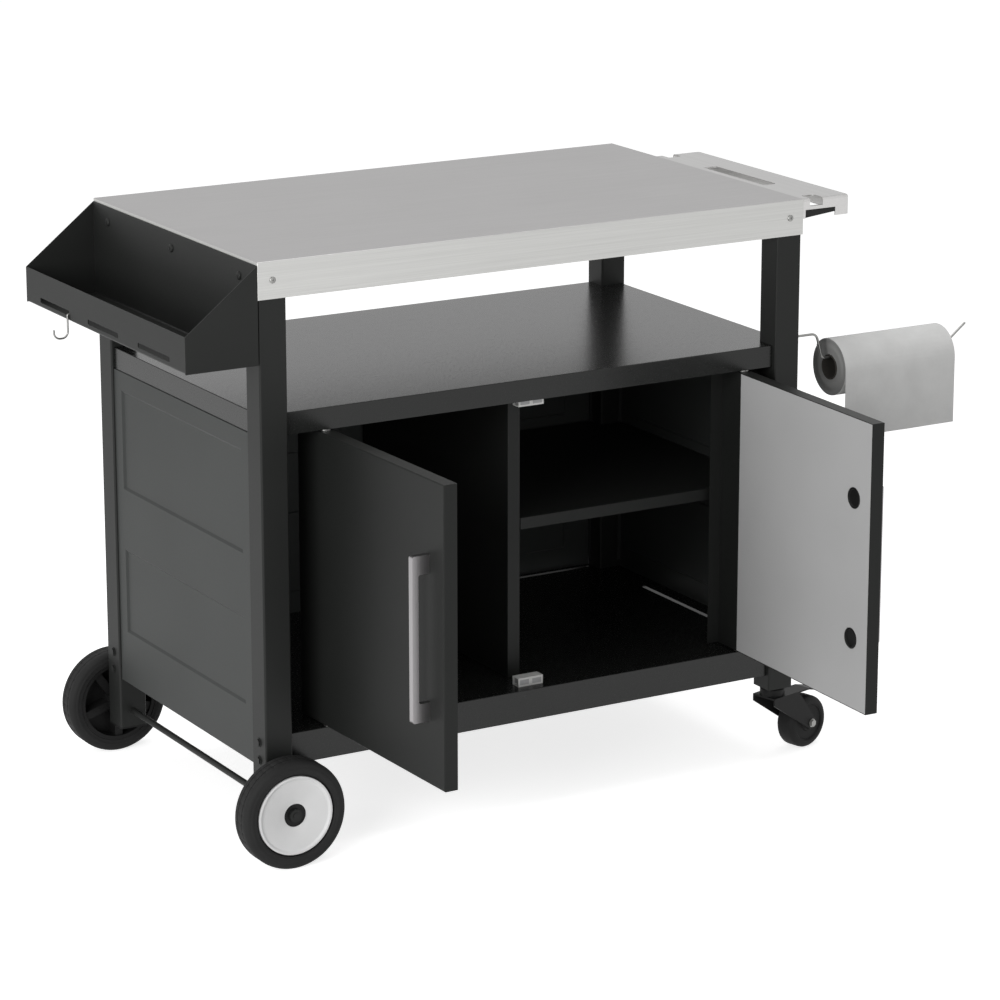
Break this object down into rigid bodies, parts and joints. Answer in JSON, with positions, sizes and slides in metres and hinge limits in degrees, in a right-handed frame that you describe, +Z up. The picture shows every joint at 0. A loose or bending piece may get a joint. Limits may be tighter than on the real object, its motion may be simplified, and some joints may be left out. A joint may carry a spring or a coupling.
{
  "type": "grill cart",
  "caption": "Wheeled outdoor grill cart: steel worktop, open shelf, two-door cabinet with a half shelf, end tray, push handle and towel roll holder.",
  "frame": {"origin": "on the floor under the middle of the worktop, in plan", "axes": "+X to the right along the worktop, towards the push handle; +Y to the back; +Z up"},
  "size_m": [1.4326, 0.9764, 0.916],
  "materials": {
    "brushed_top": "fine horizontal brushing, satin",
    "frame_black": "black satin powder coat",
    "panel_grey": "dark grey satin powder coat",
    "shelf_black": "black semi-gloss powder coat",
    "door_black": "black satin powder coat",
    "liner_grey": "pale grey satin coat",
    "plug_black": "moulded black",
    "catch_white": "moulded white",
    "magnet": "dull ferrite",
    "zinc": "bright zinc plated",
    "grip_steel": "brushed satin",
    "hook_wire": "bright plated wire",
    "core_card": "plain wound card",
    "towel_paper": "soft white paper",
    "tyre_rubber": "moulded matt tyre",
    "hub_plastic": "moulded black",
    "cover_plastic": "silver grey moulded disc",
    "caster_plastic": "moulded black",
    "caster_tread": "moulded grey black tread"
  },
  "bodies": {
    "cart": {"worktop": "brushed_top", "worktop_stiffeners": "zinc", "post_front_left": "frame_black", "post_rear_left": "frame_black", "post_front_right": "frame_black", "post_rear_right": "frame_black", "post_plugs": "plug_black", "frame_screws": "zinc", "post_bolts": "frame_black", "middle_shelf": "shelf_black", "floor_pan": "shelf_black", "side_panel_left": "panel_grey", "side_panel_right": "panel_grey", "back_panel": "panel_grey", "divider": "frame_black", "half_shelf": "frame_black", "half_shelf_brackets": "frame_black", "door_catches": "catch_white", "catch_magnets": "magnet", "door_pivots_lower": "zinc", "door_pivots_upper": "zinc", "tray": "frame_black", "tray_end_front": "frame_black", "tray_end_rear": "frame_black", "side_handle": "grip_steel", "side_handle_gussets": "frame_black", "towel_rod": "hook_wire", "paper_tail": "towel_paper", "axle": "frame_black", "axle_fittings": "frame_black", "caster_front_mount": "frame_black", "caster_rear_mount": "frame_black"},
    "left_door": {"door_left_skin": "door_black", "door_left_liner": "liner_grey", "door_left_plugs": "plug_black", "door_left_handle": "grip_steel", "door_left_handle_screws": "zinc"},
    "right_door": {"door_right_skin": "door_black", "door_right_liner": "liner_grey", "door_right_plugs": "plug_black", "door_right_handle": "grip_steel", "door_right_handle_screws": "zinc"},
    "front_road_wheel": {"wheel_front_tyre": "tyre_rubber", "wheel_front_hub": "hub_plastic", "wheel_front_cover": "cover_plastic"},
    "front_caster_fork": {"caster_front_fork": "caster_plastic", "caster_front_bolt": "zinc"},
    "front_caster_wheel": {"caster_front_wheel": "caster_tread"},
    "front_caster_pedal": {"caster_front_pedal": "caster_plastic"},
    "rear_road_wheel": {"wheel_rear_tyre": "tyre_rubber", "wheel_rear_hub": "hub_plastic", "wheel_rear_cover": "cover_plastic"},
    "rear_caster_fork": {"caster_rear_fork": "caster_plastic", "caster_rear_bolt": "zinc"},
    "rear_caster_wheel": {"caster_rear_wheel": "caster_tread"},
    "rear_caster_pedal": {"caster_rear_pedal": "caster_plastic"},
    "towel_roll": {"roll_core": "core_card", "paper_roll": "towel_paper"},
    "hook": {"tool_hook": "hook_wire"}
  },
  "joints": [
    {"name": "left_door_hinge", "type": "hinge", "parent": "cart", "child": "left_door", "pos_m": [-0.359, -0.2655, 0.195], "axis": [0, 0, 1], "range_deg": [-10, 88.5]},
    {"name": "right_door_hinge", "type": "hinge", "parent": "cart", "child": "right_door", "pos_m": [0.379, -0.2655, 0.195], "axis": [0, 0, 1], "range_deg": [-88.5, 10]},
    {"name": "front_road_wheel_spin", "type": "hinge", "parent": "cart", "child": "front_road_wheel", "pos_m": [-0.4505, -0.3125, 0.0845], "axis": [0, 1, 0], "continuous": true},
    {"name": "front_caster_swivel", "type": "hinge", "parent": "cart", "child": "front_caster_fork", "pos_m": [0.4505, -0.258, 0.11], "axis": [0, 0, 1], "continuous": true},
    {"name": "front_caster_wheel_spin", "type": "hinge", "parent": "front_caster_fork", "child": "front_caster_wheel", "pos_m": [0.52101, -0.23911, 0.043], "axis": [-0.2588, 0.9659, 0], "continuous": true},
    {"name": "front_caster_brake", "type": "hinge", "parent": "front_caster_fork", "child": "front_caster_pedal", "pos_m": [0.4872, -0.24816, 0.095], "axis": [-0.2588, 0.9659, 0], "range_deg": [0, 10]},
    {"name": "rear_road_wheel_spin", "type": "hinge", "parent": "cart", "child": "rear_road_wheel", "pos_m": [-0.4505, 0.3125, 0.0845], "axis": [0, 1, 0], "continuous": true},
    {"name": "rear_caster_swivel", "type": "hinge", "parent": "cart", "child": "rear_caster_fork", "pos_m": [0.4505, 0.258, 0.11], "axis": [0, 0, 1], "continuous": true},
    {"name": "rear_caster_wheel_spin", "type": "hinge", "parent": "rear_caster_fork", "child": "rear_caster_wheel", "pos_m": [0.52101, 0.27689, 0.043], "axis": [-0.2588, 0.9659, 0], "continuous": true},
    {"name": "rear_caster_brake", "type": "hinge", "parent": "rear_caster_fork", "child": "rear_caster_pedal", "pos_m": [0.4872, 0.26783, 0.095], "axis": [-0.2588, 0.9659, 0], "range_deg": [0, 10]},
    {"name": "towel_roll_spin", "type": "hinge", "parent": "cart", "child": "towel_roll", "pos_m": [0.6535, -0.258, 0.6338], "axis": [1, 0, 0], "continuous": true},
    {"name": "hook_slide", "type": "slide", "parent": "cart", "child": "hook", "axis": [0, 1, 0], "range_m": [0, 0.1]}
  ]
}
